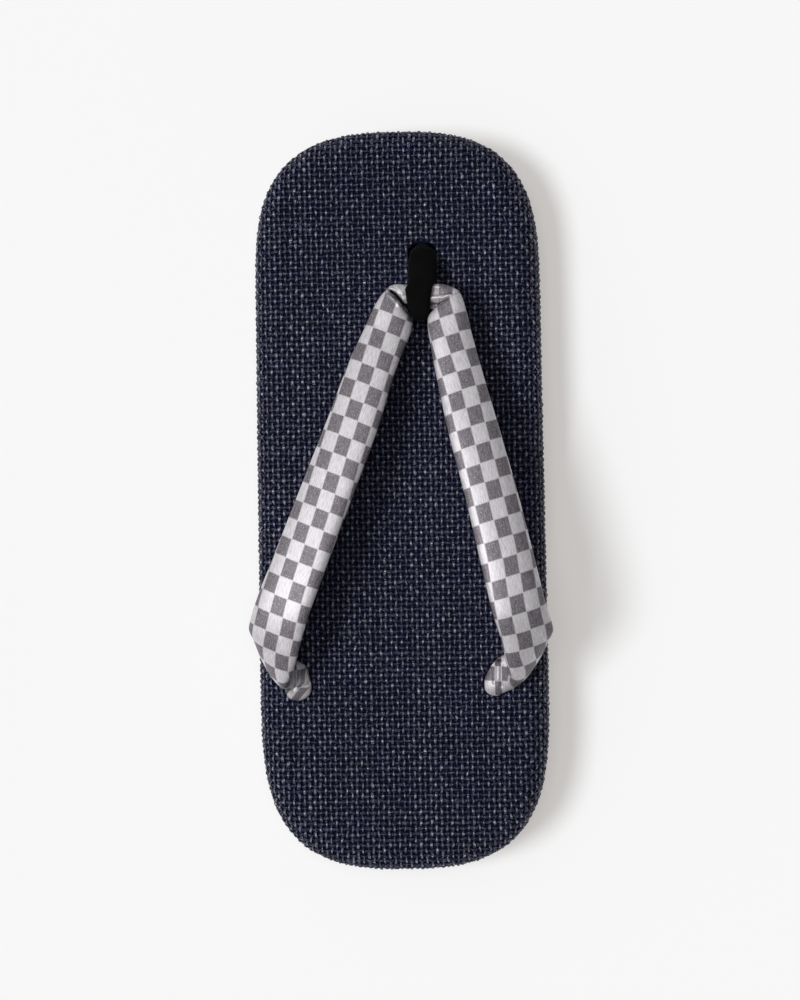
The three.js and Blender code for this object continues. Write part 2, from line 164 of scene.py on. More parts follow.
# Cloth past a fold lies its own way, in a patch seen from above: outline of the patch, then where
# its columns and rows of checks end in X and in Y, as place and number
LATERAL_FRONT_PATCH = {
    "outline": [
        (-4, 74), (-1.3, 73.3), (0.4, 72), (2, 70), (4.1, 66.8), (6.3, 63.8), (10, 63.8),
        (10, 80), (-4, 80),
    ],
    "columns": [(-1.8, -1), (3.3, 0), (8.4, 1)],
    "rows": [(62.9, 0), (69.5, 1), (76.1, 2)],
}
MEDIAL_FRONT_PATCH = {
    "outline": [
        (15.1, 67), (15.1, 68.2), (16.9, 69.4), (19.6, 70.8), (22.5, 71.8), (24, 80),
        (5, 80), (5, 67),
    ],
    "columns": [(10.4, -1), (15.5, 0), (20.6, 1), (25.7, 2)],
    "rows": [(64.6, 0), (71.2, 1), (77.8, 2)],
}
# The same for the necks, which start at this row of the arms' tables. Their columns lean sideways
# from some Y on, by a share of the distance from it.
NECK_ROW = 12.4
LATERAL_NECK = {
    "columns": [(-40.5, 0), (-37, 1), (-34.2, 2), (-31, 3)],
    "rows": [(-71.2, 2), (-65.1, 1), (-59, 0), (-52.9, -1)],
    "lean": (-63.5, 0.9),
}
MEDIAL_NECK = {
    "columns": [(29, 1), (32.6, 2), (34.9, 3), (38.8, 4), (43, 5)],
    "rows": [(-69.2, 2), (-64, 1), (-58.9, 0), (-53.8, -1)],
    "lean": (-60, 0.0),
}

# Creases and ridges of the strap, seen from above: half width, depth (less than 0 for a ridge) and
# the line's X and Y
STRAP_CREASES = [
    (0.65, 3.0, [(-1.9, 73.6), (0.4, 72), (2, 70), (4.1, 66.8), (6.3, 63.8)]),
    (0.8, -0.7, [(-2.6, 72.6), (-0.5, 71.3), (1, 69.6), (2.4, 67.2)]),
    (0.5, -0.5, [(-1.2, 74.2), (0.6, 73.2), (2.1, 71.6)]),
    (0.4, -0.4, [(0.6, 75), (2.2, 73.4), (3.2, 71.4)]),
    (0.5, 1.6, [(14.6, 67.8), (16.9, 69.4), (19.8, 70.9)]),
    (0.5, -0.8, [(14.9, 69.6), (15.8, 70.8), (17, 70.4), (18.4, 70.9), (20.2, 71.4)]),
    (0.5, 0.6, [(15.6, 74.4), (15.1, 70.6)]),
    (0.6, -0.7, [(33.8, -57.8), (33.7, -64)]),
    (0.5, 1.2, [(32.4, -58), (32.3, -65.5)]),
    (0.5, 1.1, [(35, -57.6), (34.8, -66.6)]),
    (0.5, 2.0, [(33.4, -56.8), (34.9, -56.9)]),
    (0.5, -0.6, [(30.4, -60.6), (31.4, -57.6), (33.4, -55.4)]),
    (0.5, 1.3, [(-34.6, -52.8), (-33.4, -56.6), (-32.6, -61)]),
    (0.5, 1.3, [(-37.4, -57.6), (-37, -63), (-38.6, -66.4)]),
    (0.5, 0.9, [(-36.8, -65.4), (-34.4, -65.2), (-32.2, -63.6)]),
]
# Share of the strap's thickness that a crease reaches at most
DEEPEST_CREASE = 0.75
# No crease reaches further than this from its first place, in X or in Y
CREASE_REACH = 15
# Half widths of a crease, or reaches of a pull, after which it has faded out
FADE_WIDTHS = 3
# How fast a crease deepens from its ends, and what it starts from there
CREASE_TAPER = 8
CREASE_END = 0.15
# How far up the strap has to face for a crease to show at all, and to show fully
FACING_FROM = 0.1
FACING_FULLY = 0.5
# Depth from which a crease gets painted shade in its colour, and how much deeper that painted shade is
# full
CREASE_SHADE_FROM = 0.7
CREASE_SHADE_OVER = 1.2
# Soft pulls on the strap: place, reach and move
STRAP_PULLS = [
    ((-38.8, -67.6, 31), 3.4, (-1.1, -1.3, 0)),
    ((-33.4, -58.5, 30), 3.0, (0.7, 1.2, 0)),
    ((40.6, -67.4, 31), 3.4, (1.0, -1.4, 0)),
]

# Share of the footbed's thickness that the strap's feet reach down into it
STRAP_FOOT_SHARE = 0.8

# Shape of the velvet loop along Y: sideways shift and share of the width
LOOP_SHAPE = [
    (64.6, (-0.6, 0.72)),
    (67, (-0.8, 0.95)),
    (70, (-0.95, 1.0)),
    (73.4, (-0.9, 1.03)),
    (75.8, (0.0, 1.0)),
    (78, (0.4, 1.09)),
    (84, (0.4, 1.08)),
    (87.5, (0.1, 0.92)),
    (89.5, (0.0, 0.66)),
]
# The loop's rear end, behind this Y, is drawn out by this factor
LOOP_STRETCH_FROM = 70
LOOP_STRETCH = 1.3

# Fineness of the cover's edge: steps of a quarter outline, of the roll and of the tuck, spacing of
# the outline, the edge line and the profile's table, and the halvings that find a thread's end
OUTLINE_STEPS = 90
ROLL_PROFILE_STEPS = 60
TUCK_STEPS = 8
OUTLINE_SPACING = 1.0
EDGE_SPACING = 0.5
PROFILE_SPACING = 0.1
END_HALVINGS = 20

# Fineness of the soft pieces: spacing of the strap's rings, with the closer one of the front rows of
# its tables, the points of its section, and the loop's voxels and smoothing
STRAP_SPACING = 0.5
FRONT_SPACING = 0.28
FRONT_ROWS = 4
STRAP_SIDES = 96
SECTION_STEPS = 240
LOOP_VOXEL = 0.35
LOOP_SMOOTHING = 12

# The photograph's camera, seen from the sandal: where it stands, what it looks at, how far the
# picture is turned, in degrees, and the height that it covers a metre away
CAMERA_PLACE = (59.85, -0.2, 1021)
CAMERA_AIM = (0, 0, 25)
CAMERA_ROLL = 1.1
PICTURE_HEIGHT_AT_A_METRE = 354.7
SENSOR = 36

FLOOR_HALF_WIDTH = 3000

# Strength of the room's own light on the left and on the right, and the lamps: name, direction that
# the light comes from, strength and spread in degrees
ROOM_LIGHT = (0.3, 0.02)
LAMPS = [
    ("low_light", (-1.0, -0.1, 1.8), 2.06, 20),
    ("high_light", (0.0, 0.08, 1.0), 0.7, 26),
]

HALF_LENGTH = SOLE_LENGTH / 2
TOE_HOLE = Vector((TOE_WIDTH / 2 - TOE_HOLE_FROM_INNER_EDGE, HALF_LENGTH - TOE_HOLE_FROM_TOE))
REAR_HOLE_Y = REAR_HOLE_FROM_HEEL - HALF_LENGTH
LATERAL_HOLE = Vector((LATERAL_HOLE_FROM_EDGE - HEEL_WIDTH / 2, REAR_HOLE_Y))
MEDIAL_HOLE = Vector((HEEL_WIDTH / 2 - MEDIAL_HOLE_FROM_EDGE, REAR_HOLE_Y))
CROSSING = Vector((TOE_HOLE.x, TOE_HOLE.y - CROSSING_BEHIND_TOE_HOLE))


def lerp(low, high, share):
    return low + (high - low) * share


def clamp(value, low=0.0, high=1.0):
    return max(low, min(high, value))


def smooth(share):
    share = clamp(share)
    return share * share * (3 - 2 * share)


def read_table(table, place):
    """The value at a place between the rows of a table of places and values."""
    for low, high in zip(table, table[1:]):
        if place < high[0]:
            return lerp(low[1], high[1], smooth((place - low[0]) / (high[0] - low[0])))
    return table[-1][1]


# Heights of the sole


def spring_at(y):
    share = (y - (HALF_LENGTH - TOE_SPRING_LENGTH)) / TOE_SPRING_LENGTH
    return TOE_SPRING * max(share, 0) ** 2


def footbed_top_at(y):
    wedge = lerp(MIDSOLE_HEEL_THICKNESS, MIDSOLE_TOE_THICKNESS, (y + HALF_LENGTH) / SOLE_LENGTH)
    return spring_at(y) + OUTSOLE_THICKNESS + SEAT_GAP + wedge + SEAT_GAP + FOOTBED_THICKNESS


def top_slope_at(y):
    """How much the footbed's top rises over the millimetre round y."""
    return footbed_top_at(y + 0.5) - footbed_top_at(y - 0.5)


# Meshes


def mesh_object(name, places, faces, body="root"):
    mesh = bpy.data.meshes.new(name)
    mesh.from_pydata([(x * MM, y * MM, z * MM) for x, y, z in places], [], faces)
    mesh.polygons.foreach_set("use_smooth", [True] * len(mesh.polygons))
    mesh.update()
    piece = bpy.data.objects.new(name, mesh)
    bpy.context.scene.collection.objects.link(piece)
    if body:
        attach(piece, body)
    return piece


def add_attribute(piece, name, values):
    layer = piece.data.attributes.new(name, "FLOAT", "POINT")
    layer.data.foreach_set("value", values)


# The cover's flat middle ends on an edge line, and from there the cloth follows the rolled edge


def end_quarter(half_width, depth, along_power, across_power):
    """A quarter of the outline as places across and back from the tip, without its last one."""
    points = []
    for step in range(OUTLINE_STEPS):
        angle = step / OUTLINE_STEPS * math.pi / 2
        across = half_width * math.sin(angle) ** (2 / across_power)
        from_tip = depth * (1 - math.cos(angle) ** (2 / along_power))
        points.append((across, from_tip))
    return points


def footbed_outline():
    toe = end_quarter(TOE_WIDTH / 2, TOE_END_DEPTH, TOE_ALONG_POWER, TOE_ACROSS_POWER)
    heel = end_quarter(HEEL_WIDTH / 2, HEEL_END_DEPTH, HEEL_ALONG_POWER, HEEL_ACROSS_POWER)
    side = [(across, HALF_LENGTH - from_tip) for across, from_tip in toe]
    side.append((TOE_WIDTH / 2, HALF_LENGTH - TOE_END_DEPTH))
    side.append((HEEL_WIDTH / 2, HEEL_END_DEPTH - HALF_LENGTH))
    side += [(across, from_tip - HALF_LENGTH) for across, from_tip in reversed(heel)]
    return side + [(-x, y) for x, y in reversed(side[1:-1])]


def even_loop(points, spacing):
    """The closed line through points, with a point every so many millimetres."""
    loop = [Vector(point) for point in points]
    even = []
    left = 0.0
    for start, end in zip(loop, loop[1:] + loop[:1]):
        length = (end - start).length
        while left < length:
            even.append(start.lerp(end, left / length))
            left += spacing
        left -= length
    return even


def outward_directions(loop):
    """The outward direction at each point of a clockwise closed line."""
    directions = []
    for index in range(len(loop)):
        along = loop[(index + 2) % len(loop)] - loop[index - 2]
        directions.append(Vector((-along.y, along.x)).normalized())
    return directions


def flat_edge():
    """The line round the cover's flat middle, where the roll starts."""
    outline = even_loop(footbed_outline(), OUTLINE_SPACING)
    outward = outward_directions(outline)
    inward = [point - out * FOOTBED_ROLL_WIDTH for point, out in zip(outline, outward)]
    return even_loop(inward, EDGE_SPACING)


def edge_profile():
    """Rows of distance along the cloth, reach outward, drop and slope in radians, from the flat
    middle over the roll and down the side to where the cover is tucked in below."""
    rows = []
    distance = 0.0
    reach = 0.0
    drop = 0.0
    for step in range(ROLL_PROFILE_STEPS + 1):
        angle = step / ROLL_PROFILE_STEPS * math.pi / 2
        next_reach = FOOTBED_ROLL_WIDTH * math.sin(angle)
        next_drop = FOOTBED_ROLL_HEIGHT * (1 - math.cos(angle))
        distance += math.hypot(next_reach - reach, next_drop - drop)
        reach, drop = next_reach, next_drop
        slope = math.atan2(FOOTBED_ROLL_HEIGHT * math.sin(angle), FOOTBED_ROLL_WIDTH * math.cos(angle))
        rows.append((distance, reach, drop, slope))
    side = FOOTBED_THICKNESS - FOOTBED_ROLL_HEIGHT - FOOTBED_TUCK
    distance += side
    drop += side
    rows.append((distance, reach, drop, math.pi / 2))
    for step in range(1, TUCK_STEPS + 1):
        angle = step / TUCK_STEPS * TUCKED_SHARE * math.pi / 2
        rows.append((
            distance + FOOTBED_TUCK * angle,
            reach - FOOTBED_TUCK * (1 - math.cos(angle)),
            drop + FOOTBED_TUCK * math.sin(angle),
            math.pi / 2 + angle,
        ))
    return rows


EDGE = flat_edge()
EDGE_OUTWARD = outward_directions(EDGE)
PROFILE = edge_profile()
CLOTH_REACH = PROFILE[-1][0]


def profile_table():
    """The edge profile at even distances, so that a place on it is found at once."""
    table = []
    row = 0
    for index in range(int(CLOTH_REACH / PROFILE_SPACING) + 2):
        distance = min(index * PROFILE_SPACING, CLOTH_REACH)
        while row < len(PROFILE) - 2 and PROFILE[row + 1][0] < distance:
            row += 1
        low, high = PROFILE[row], PROFILE[row + 1]
        share = (distance - low[0]) / (high[0] - low[0])
        table.append(tuple(lerp(a, b, share) for a, b in zip(low[1:], high[1:])))
    return table


PROFILE_TABLE = profile_table()


def edge_tree():
    tree = KDTree(len(EDGE))
    for index, point in enumerate(EDGE):
        tree.insert((point.x, point.y, 0), index)
    tree.balance()
    return tree


EDGE_TREE = edge_tree()


def beyond_edge(u, v):
    """How far the flat cloth's point u, v lies beyond the flat middle, with X and Y of the nearest
    edge place and the outward direction there."""
    _, index, _ = EDGE_TREE.find((u, v, 0))
    edge = EDGE[index]
    out = EDGE_OUTWARD[index]
    away_x = u - edge.x
    away_y = v - edge.y
    distance = away_x * out.x + away_y * out.y
    slide = away_x * out.y - away_y * out.x
    return distance, edge.x + out.y * slide, edge.y - out.x * slide, out


def cover_place(u, v, lift):
    """The place over the footbed of the flat cloth's point u, v, lifted off it."""
    distance, x, y, out = beyond_edge(u, v)
    if distance <= 0:
        slope = top_slope_at(v)
        return (u, v - lift * slope, footbed_top_at(v) + lift)
    place = min(distance, CLOTH_REACH) / PROFILE_SPACING
    index = int(place)
    share = place - index
    low, high = PROFILE_TABLE[index], PROFILE_TABLE[min(index + 1, len(PROFILE_TABLE) - 1)]
    reach = lerp(low[0], high[0], share)
    drop = lerp(low[1], high[1], share)
    tilt = lerp(low[2], high[2], share)
    reach += lift * math.sin(tilt)
    raised = lift * math.cos(tilt)
    x += out.x * reach
    y += out.y * reach
    return (x, y - raised * top_slope_at(y), footbed_top_at(y) - drop + raised)


# Threads of the cover


def holes():
    """The three holes of the cover as centre, direction of the long axis and half sizes."""
    rear = (LATERAL_ARM[-1][3] * STRAP_WIDTH / 2, LATERAL_ARM[-1][4] * STRAP_THICKNESS / 2)
    places = [(TOE_HOLE, 0, (LOOP_WIDTH / 2, LOOP_STEM_THICKNESS / 2))]
    for hole, arm in ((LATERAL_HOLE, LATERAL_ARM), (MEDIAL_HOLE, MEDIAL_ARM)):
        places.append((hole, math.radians(arm[-1][5]), rear))
    return places


HOLES = holes()


def in_hole(u, v):
    for centre, turn, half in HOLES:
        x = u - centre.x
        y = v - centre.y
        if abs(x) > STRAP_WIDTH or abs(y) > STRAP_WIDTH:
            continue
        across = abs(x * math.cos(turn) + y * math.sin(turn)) / (half[0] + HOLE_MARGIN)
        through = abs(y * math.cos(turn) - x * math.sin(turn)) / (half[1] + HOLE_MARGIN)
        if across ** TUBE_POWER + through ** TUBE_POWER < 1:
            return True
    return False


class Threads:
    """Gathers the threads that run one way into lists for one mesh."""

    def __init__(self):
        self.places = []
        self.faces = []
        self.tone = []
        self.along = []
        self.across = []
        self.crest = []

    def add_run(self, rings, tone):
        """Adds a closed thread through rings of places, each with its distance along and its wave."""
        sides = len(THREAD_SECTION)
        first = len(self.places)
        for distance, wave, ring in rings:
            for (share, rise), place in zip(THREAD_SECTION, ring):
                self.places.append(place)
                self.tone.append(tone)
                self.along.append(distance)
                self.across.append(share)
                self.crest.append(clamp(0.5 + wave / 2) if rise > 0 else 0)
        for row in range(len(rings) - 1):
            low = first + row * sides
            high = low + sides
            for side in range(sides):
                after = (side + 1) % sides
                self.faces.append((low + side, low + after, high + after, high + side))
        last = first + (len(rings) - 1) * sides
        self.faces.append(tuple(first + side for side in reversed(range(sides))))
        self.faces.append(tuple(last + side for side in range(sides)))


def thread_ends(flat_place):
    """How far a thread runs each way from the middle line before it reaches the tucked edge."""
    ends = []
    for way in (-1, 1):
        inside = 0.0
        outside = float(SOLE_LENGTH)
        for _ in range(END_HALVINGS):
            middle = (inside + outside) / 2
            if beyond_edge(*flat_place(way * middle))[0] < CLOTH_REACH:
                inside = middle
            else:
                outside = middle
        ends.append(way * inside)
    return ends


def stray(kind, distance, seed):
    """How far a thread strays from its even form at a distance along it."""
    amount, rate, layer = kind
    return amount * noise.noise((distance * rate, seed, layer))


def lay_thread(threads, index, along_warp, rng):
    """Lays one thread: a warp along Y at its place across, or a weft along X."""
    own_pitch = WARP_PITCH if along_warp else WEFT_PITCH
    cross_pitch = WEFT_PITCH if along_warp else WARP_PITCH
    width = (WARP_WIDTH if along_warp else WEFT_WIDTH) * rng.uniform(*THREAD_WIDTHS)
    sign = 1 if along_warp else -1
    swing = WARP_SWING if along_warp else WEFT_SWING
    seed = rng.uniform(0, 100)
    tone = rng.random()

    def flat_place(distance, aside=0.0):
        offset = index * own_pitch + aside + stray(WANDER, distance, seed)
        return (offset, distance) if along_warp else (distance, offset)

    if beyond_edge(*flat_place(0.0))[0] > CLOTH_REACH:
        return
    low, high = thread_ends(flat_place)
    step = cross_pitch / STEPS_PER_CROSSING
    distances = [low]
    count = math.ceil(low / step)
    while count * step < high:
        if count * step - low > step * SHORTEST_STEP_SHARE:
            distances.append(count * step)
        count += 1
    distances.append(high)
    rings = []
    for distance in distances:
        if in_hole(*flat_place(distance)):
            if len(rings) > 1:
                threads.add_run(rings, tone)
            rings = []
            continue
        wave = sign * math.cos(math.pi * (distance / cross_pitch + index))
        swell = 1 + stray(SWELL, distance, seed)
        lift = THREAD_MIDDLE + swing * wave + stray(RISE, distance, seed)
        ring = [
            cover_place(*flat_place(distance, share * width * swell), lift + rise * THREAD_THICKNESS)
            for share, rise in THREAD_SECTION
        ]
        rings.append((distance, wave, ring))
    if len(rings) > 1:
        threads.add_run(rings, tone)


def weave_piece(name, along_warp, odd, material):
    pitch = WARP_PITCH if along_warp else WEFT_PITCH
    reach = int((HALF_LENGTH + CLOTH_REACH) / pitch)
    rng = random.Random(name)
    threads = Threads()
    for index in range(-reach, reach + 1):
        if index % 2 == odd:
            lay_thread(threads, index, along_warp, rng)
    piece = mesh_object(name, threads.places, threads.faces)
    add_attribute(piece, "tone", threads.tone)
    add_attribute(piece, "along", threads.along)
    add_attribute(piece, "across", threads.across)
    add_attribute(piece, "crest", threads.crest)
    piece.data.materials.append(material)


# Strap


def arm_section(arm, row):
    number, back, out, up, wide, thick, turn, dive, bank = row
    x = lerp(CROSSING.x, arm["hole"].x, out)
    y = lerp(CROSSING.y, arm["hole"].y, back)
    turn, dive, bank = math.radians(turn), math.radians(dive), math.radians(bank)
    outward = Vector((math.cos(turn), math.sin(turn), 0))
    ahead = Vector((arm["side"] * outward.y, -arm["side"] * outward.x, 0))
    face = ahead * math.sin(dive) + Vector((0, 0, math.cos(dive)))
    return {
        "row": number,
        "centre": Vector((x, y, footbed_top_at(y) + up * STRAP_RISE)),
        "ahead": ahead * math.cos(dive) - Vector((0, 0, math.sin(dive))),
        "edge": outward * math.cos(bank) + face * math.sin(bank),
        "top": face * math.cos(bank) - outward * math.sin(bank),
        "half_width": wide * STRAP_WIDTH / 2,
        "half_thickness": thick * STRAP_THICKNESS / 2,
    }


def refine_rows(arm):
    """Rows between the rows of a table, each after its row number, on smooth curves spaced by the
    distance between centres."""
    table = arm["rows"]
    knots = [0.0]
    for low, high in zip(table, table[1:]):
        along = (high[0] - low[0]) * (arm["hole"].y - CROSSING.y)
        across = (high[1] - low[1]) * (arm["hole"].x - CROSSING.x)
        rise = (high[2] - low[2]) * STRAP_RISE
        knots.append(knots[-1] + math.sqrt(along ** 2 + across ** 2 + rise ** 2))

    def slope(index, column):
        low = max(index - 1, 0)
        high = min(index + 1, len(table) - 1)
        return (table[high][column] - table[low][column]) / (knots[high] - knots[low])

    rows = []
    for index in range(len(table) - 1):
        span = knots[index + 1] - knots[index]
        spacing = FRONT_SPACING if index < FRONT_ROWS else STRAP_SPACING
        steps = max(2, round(span / spacing))
        for step in range(steps):
            share = step / steps
            row = [index + share]
            for column in range(len(table[0])):
                tilt = slope(index, column) * (1 - share) - slope(index + 1, column) * share
                blend = lerp(table[index][column], table[index + 1][column], smooth(share))
                row.append(blend + share * (1 - share) * span * tilt)
            rows.append(row)
    rows.append((len(table) - 1, *table[-1]))
    return rows


def even_section(half_width, half_thickness):
    """A squared oval with evenly spaced points, from the middle of the underside round by the outer
    edge, as places across and through and the distance from the middle of the top."""
    fine = []
    for step in range(SECTION_STEPS + 1):
        angle = -math.pi / 2 + step / SECTION_STEPS * 2 * math.pi
        across = math.copysign(abs(math.cos(angle)) ** (2 / TUBE_POWER), math.cos(angle))
        through = math.copysign(abs(math.sin(angle)) ** (2 / TUBE_POWER), math.sin(angle))
        fine.append(Vector((across * half_width, through * half_thickness)))
    lengths = [0.0]
    for low, high in zip(fine, fine[1:]):
        lengths.append(lengths[-1] + (high - low).length)
    whole = lengths[-1]
    section = []
    index = 0
    for side in range(STRAP_SIDES + 1):
        distance = side / STRAP_SIDES * whole
        while index < SECTION_STEPS - 1 and lengths[index + 1] < distance:
            index += 1
        share = (distance - lengths[index]) / (lengths[index + 1] - lengths[index])
        section.append((fine[index].lerp(fine[index + 1], clamp(share)), whole / 2 - distance))
    return section


def arm_frames(arm):
    """Sections of an arm from the crossing to its foot inside the footbed."""
    frames = [arm_section(arm, row) for row in refine_rows(arm)]
    foot = dict(frames[-1])
    foot["centre"] = foot["centre"] - Vector((0, 0, FOOTBED_THICKNESS * STRAP_FOOT_SHARE))
    return frames + [foot]


def unroll(frames):
    """Lays the top face of an arm out flat. Gives each section the flat place of the middle of its
    top, as out towards the outer edge and back from the crossing, and its turn in radians."""
    flat = [(0.0, 0.0, 0.0)]
    for before, after in zip(frames, frames[1:]):
        out, back, turn = flat[-1]
        move = top_middle(after) - top_middle(before)
        turn += math.asin(clamp(after["edge"].dot(before["ahead"]), -1, 1))
        aside = move.dot(before["edge"])
        onward = move.dot(before["ahead"])
        out += aside * math.cos(turn) - onward * math.sin(turn)
        back += aside * math.sin(turn) + onward * math.cos(turn)
        flat.append((out, back, turn))
    return flat


def top_middle(section):
    return section["centre"] + section["top"] * section["half_thickness"]


def cloth_place(cloth, out, back):
    """The place in checks, across and along, of a point of the flat top face."""
    turn, slant = (math.radians(angle) for angle in cloth["turn"])
    across = (out * math.cos(turn) + back * math.sin(turn)) / cloth["cell"][0] + cloth["shift"][0]
    along = (back * math.cos(slant) - out * math.sin(slant)) / cloth["cell"][1] + cloth["shift"][1]
    return across - read_table(cloth["drift"], along) / cloth["cell"][0], along


def arm_rings(arm):
    """Rings of an arm from the crossing to its foot. Each is a list of places with the place in
    checks there."""
    frames = arm_frames(arm)
    rings = []
    for section, (out, back, turn) in zip(frames, unroll(frames)):
        ring = []
        for point, across in even_section(section["half_width"], section["half_thickness"]):
            place = section["centre"] + section["edge"] * point.x + section["top"] * point.y
            flat = (out + across * math.cos(turn), back + across * math.sin(turn))
            if section["row"] > NECK_ROW:
                checks = neck_place(arm["neck"], place)
            elif section["row"] < FRONT_ROWS and inside(arm["patch"]["outline"], place):
                checks = patch_place(arm["patch"], place.x, place.y)
            else:
                checks = cloth_place(arm["cloth"], *flat)
            ring.append((place, checks))
        rings.append(ring)
    return rings


def inside(outline, place):
    """Whether a place seen from above lies inside a closed outline."""
    crossings = 0
    for (x0, y0), (x1, y1) in zip(outline, outline[1:] + outline[:1]):
        if (y0 > place.y) != (y1 > place.y):
            if place.x < lerp(x0, x1, (place.y - y0) / (y1 - y0)):
                crossings += 1
    return crossings % 2 == 1


def chart(table, place):
    """The value at a place on the straight lines through a table's rows, and beyond its ends."""
    row = 0
    while row < len(table) - 2 and table[row + 1][0] < place:
        row += 1
    low, high = table[row], table[row + 1]
    return lerp(low[1], high[1], (place - low[0]) / (high[0] - low[0]))


def patch_place(patch, x, y):
    return chart(patch["columns"], x), chart(patch["rows"], y)


def neck_place(neck, place):
    start, lean = neck["lean"]
    return patch_place(neck, place.x + lean * max(start - place.y, 0), place.y)


def along_line(line, x, y):
    """How far x, y lies from a line of places, and the share of the line at its nearest place."""
    best = (math.inf, 0.0)
    for index, ((x0, y0), (x1, y1)) in enumerate(zip(line, line[1:])):
        dx, dy = x1 - x0, y1 - y0
        share = clamp(((x - x0) * dx + (y - y0) * dy) / (dx * dx + dy * dy))
        away = math.hypot(x - x0 - dx * share, y - y0 - dy * share)
        best = min(best, (away, (index + share) / (len(line) - 1)))
    return best


def upper_thickness(places):
    """How thick the strap is through each place in the upper half of its section, and 0 through the
    others."""
    thickness = []
    for start in range(0, len(places), STRAP_SIDES):
        ring = places[start:start + STRAP_SIDES]
        middle = sum(place.z for place in ring) / STRAP_SIDES
        for side, place in enumerate(ring):
            opposite = ring[(STRAP_SIDES // 2 - side) % STRAP_SIDES]
            thickness.append((place - opposite).length / MM if place.z > middle else 0.0)
    return thickness


def sculpt_strap(piece):
    """Lowers the creases and raises the ridges where the strap faces up, after the soft pulls. The
    deepest places get a share of painted shade, which turns the satin's colour nearly black there."""
    crease_shades = [0.0] * len(piece.data.vertices)
    for vertex in piece.data.vertices:
        place = vertex.co / MM
        for centre, reach, move in STRAP_PULLS:
            away = (place - Vector(centre)).length
            if away < FADE_WIDTHS * reach:
                vertex.co += Vector(move) * MM * math.exp(-(away / reach) ** 2)
    piece.data.update()
    facing = [vertex.normal.z for vertex in piece.data.vertices]
    thickness = upper_thickness([vertex.co for vertex in piece.data.vertices])
    for vertex, up, thick in zip(piece.data.vertices, facing, thickness):
        if up < FACING_FROM or thick == 0:
            continue
        x, y = vertex.co.x / MM, vertex.co.y / MM
        drop = 0.0
        for half_width, depth, line in STRAP_CREASES:
            if abs(line[0][0] - x) > CREASE_REACH or abs(line[0][1] - y) > CREASE_REACH:
                continue
            away, share = along_line(line, x, y)
            if away < FADE_WIDTHS * half_width:
                ends = smooth(CREASE_TAPER * min(share, 1 - share) + CREASE_END)
                drop += depth * ends * math.exp(-(away / half_width) ** 2)
        drop = min(drop, thick * DEEPEST_CREASE)
        vertex.co.z -= drop * smooth(up / FACING_FULLY) * MM
        # Share of painted shade for the colour where the crease is deepest
        crease_shades[vertex.index] = smooth((drop - CREASE_SHADE_FROM) / CREASE_SHADE_OVER)
    piece.data.update()
    add_attribute(piece, "painted_crease_shade", crease_shades)


def strap_piece(material):
    lateral = {
        "rows": LATERAL_ARM, "hole": LATERAL_HOLE, "side": -1,
        "cloth": LATERAL_CLOTH, "patch": LATERAL_FRONT_PATCH, "neck": LATERAL_NECK,
    }
    medial = {
        "rows": MEDIAL_ARM, "hole": MEDIAL_HOLE, "side": 1,
        "cloth": MEDIAL_CLOTH, "patch": MEDIAL_FRONT_PATCH, "neck": MEDIAL_NECK,
    }
    outer_rings = list(reversed(arm_rings(lateral)))
    rings = outer_rings + arm_rings(medial)
    places = []
    faces = []
    corners = []
    for ring in rings:
        places += [place for place, _ in ring[:-1]]
    for index in range(len(rings) - 1):
        low = index * STRAP_SIDES
        high = low + STRAP_SIDES
        for side in range(STRAP_SIDES):
            after = (side + 1) % STRAP_SIDES
            faces.append((low + side, low + after, high + after, high + side))
            for row, where in ((index, side), (index, side + 1), (index + 1, side + 1), (index + 1, side)):
                corners.append(rings[row][where][1])
    faces.append(tuple(reversed(range(STRAP_SIDES))))
    last = (len(rings) - 1) * STRAP_SIDES
    faces.append(tuple(last + side for side in range(STRAP_SIDES)))
    corners += [(0, 0)] * (2 * STRAP_SIDES)
    piece = mesh_object("satin_strap", places, faces)
    layer = piece.data.uv_layers.new(name="cloth")
    layer.data.foreach_set("uv", [value for corner in corners for value in corner])
    piece.data.materials.append(material)
    sculpt_strap(piece)
    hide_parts("strap")


# Toe loop


def shape_loop(mesh):
    """Narrows the loop at both ends, shifts it sideways and draws its rear end out."""
    shifts = [(place, shift) for place, (shift, _) in LOOP_SHAPE]
    widths = [(place, width) for place, (_, width) in LOOP_SHAPE]
    for vertex in mesh.vertices:
        x, y = vertex.co.x / MM, vertex.co.y / MM
        aside = read_table(shifts, max(y, shifts[0][0]))
        x = TOE_HOLE.x + aside + (x - TOE_HOLE.x) * read_table(widths, max(y, widths[0][0]))
        if y < LOOP_STRETCH_FROM:
            y = LOOP_STRETCH_FROM - (LOOP_STRETCH_FROM - y) * LOOP_STRETCH
        vertex.co.x = x * MM
        vertex.co.y = y * MM


def loop_piece(material):
    """The velvet loop: the solid's form with its edges rounded, then shaped by its table."""
    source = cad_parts["toe_loop"]
    piece = bpy.data.objects.new("velvet_loop", source.data.copy())
    bpy.context.scene.collection.objects.link(piece)
    remesh = piece.modifiers.new("even", "REMESH")
    remesh.mode = "VOXEL"
    remesh.voxel_size = LOOP_VOXEL * MM
    relax = piece.modifiers.new("relax", "SMOOTH")
    relax.iterations = LOOP_SMOOTHING
    depsgraph = bpy.context.evaluated_depsgraph_get()
    mesh = bpy.data.meshes.new_from_object(piece.evaluated_get(depsgraph))
    piece.modifiers.clear()
    piece.data = mesh
    shape_loop(mesh)
    mesh.materials.clear()
    mesh.materials.append(material)
    mesh.polygons.foreach_set("use_smooth", [True] * len(mesh.polygons))
    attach(piece, "root")
    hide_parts("toe_loop")


# Materials


